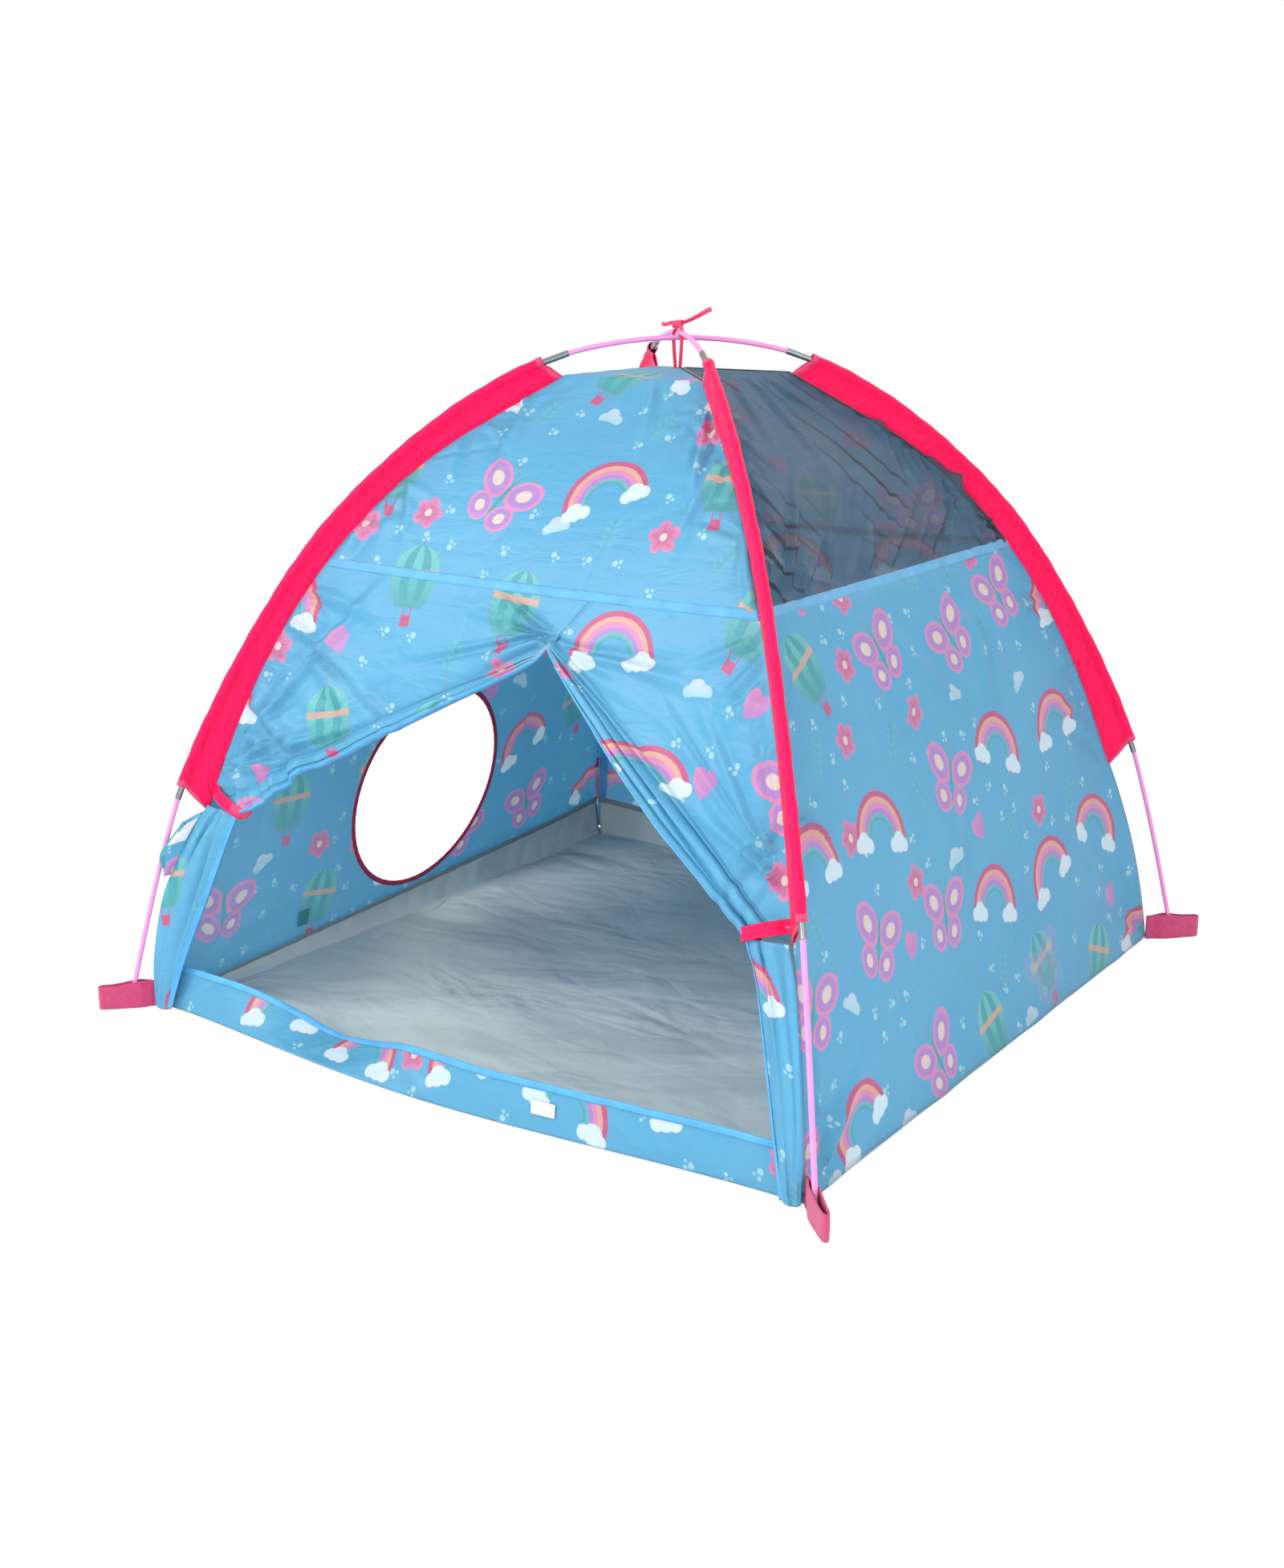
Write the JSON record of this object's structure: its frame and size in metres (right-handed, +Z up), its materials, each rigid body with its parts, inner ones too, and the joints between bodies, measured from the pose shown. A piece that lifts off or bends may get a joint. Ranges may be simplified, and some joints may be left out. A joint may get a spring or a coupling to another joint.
{
  "type": "kids dome play tent",
  "caption": "Small dome play tent: crossed arch poles in sleeves, printed cloth body, mesh roof window, round tunnel port and a tied-back door.",
  "frame": {"origin": "centre of the floor's square, on the ground", "axes": "+Z up; -Y towards the door; +X towards the mesh window's side"},
  "size_m": [1.3656, 1.3656, 1.1044],
  "materials": {
    "printed_cloth": "thin satin polyester with a sea-blue ground and small pastel motifs",
    "sleeve_cloth": "hot pink woven polyester",
    "mesh_cloth": "dark see-through mesh",
    "floor_cloth": "creased grey coated sheet",
    "binding": "crimson folded binding",
    "webbing": "ribbed rose webbing",
    "pole": "orchid pink coated fibreglass rod",
    "ferrule": "plain drawn steel tube",
    "hook_and_loop": "white hook-and-loop patch"
  },
  "bodies": {
    "root": {"lower_arch_rod_1": "pole", "lower_arch_rod_2": "pole", "lower_arch_rod_3": "pole", "lower_arch_rod_4": "pole", "lower_arch_rod_5": "pole", "lower_arch_rod_6": "pole", "lower_arch_rod_7": "pole", "upper_arch_rod_1": "pole", "upper_arch_rod_2": "pole", "upper_arch_rod_3": "pole", "upper_arch_rod_4": "pole", "upper_arch_rod_5": "pole", "upper_arch_rod_6": "pole", "upper_arch_rod_7": "pole", "lower_arch_ferrule_1": "ferrule", "lower_arch_ferrule_2": "ferrule", "lower_arch_ferrule_3": "ferrule", "lower_arch_ferrule_4": "ferrule", "lower_arch_ferrule_5": "ferrule", "lower_arch_ferrule_6": "ferrule", "upper_arch_ferrule_1": "ferrule", "upper_arch_ferrule_2": "ferrule", "upper_arch_ferrule_3": "ferrule", "upper_arch_ferrule_4": "ferrule", "upper_arch_ferrule_5": "ferrule", "upper_arch_ferrule_6": "ferrule", "front_left_sleeve": "sleeve_cloth", "front_right_sleeve": "sleeve_cloth", "back_right_sleeve": "sleeve_cloth", "back_left_sleeve": "sleeve_cloth", "front_left_pocket": "webbing", "front_right_pocket": "webbing", "back_right_pocket": "webbing", "back_left_pocket": "webbing", "front_upper_panel": "printed_cloth", "front_left_panel": "printed_cloth", "front_right_panel": "printed_cloth", "left_upper_panel": "printed_cloth", "left_lower_panel": "printed_cloth", "back_upper_panel": "printed_cloth", "back_lower_panel": "printed_cloth", "right_lower_panel": "printed_cloth", "door_sill": "printed_cloth", "left_flap_tail": "printed_cloth", "right_flap_tail": "printed_cloth", "apex_ribbon_loop": "sleeve_cloth", "apex_ribbon_knot": "sleeve_cloth", "apex_ribbon_long_tail": "sleeve_cloth", "apex_ribbon_short_tail": "sleeve_cloth", "mesh_window": "mesh_cloth", "ground_sheet": "floor_cloth", "port_binding": "binding", "sill_patch": "hook_and_loop"},
    "left_flap": {"left_flap": "printed_cloth"},
    "right_flap": {"right_flap": "printed_cloth"},
    "left_tie": {"left_tie": "sleeve_cloth"},
    "right_tie": {"right_tie": "sleeve_cloth"}
  },
  "joints": [
    {"name": "left_flap_swing", "type": "hinge", "parent": "root", "child": "left_flap", "pos_m": [0.038, -0.44376, 0.62957], "axis": [0, -0.9477, 0.3191], "range_deg": [0, 58.8]},
    {"name": "right_flap_swing", "type": "hinge", "parent": "root", "child": "right_flap", "pos_m": [0.086, -0.44376, 0.62957], "axis": [0, 0.9477, -0.3191], "range_deg": [0, 50.9]},
    {"name": "left_tie_turn", "type": "hinge", "parent": "root", "child": "left_tie", "pos_m": [-0.52724, -0.53851, 0.36247], "axis": [-0.2164, -0.2164, -0.952], "range_deg": [0, 100]},
    {"name": "right_tie_turn", "type": "hinge", "parent": "root", "child": "right_tie", "pos_m": [0.52926, -0.54126, 0.34984], "axis": [-0.2164, 0.2164, 0.952], "range_deg": [0, 100]}
  ],
  "couplings": [
    {"joint": "left_tie_turn", "follows": "left_flap_swing", "ratio": 1.7},
    {"joint": "right_tie_turn", "follows": "right_flap_swing", "ratio": 1.95}
  ]
}
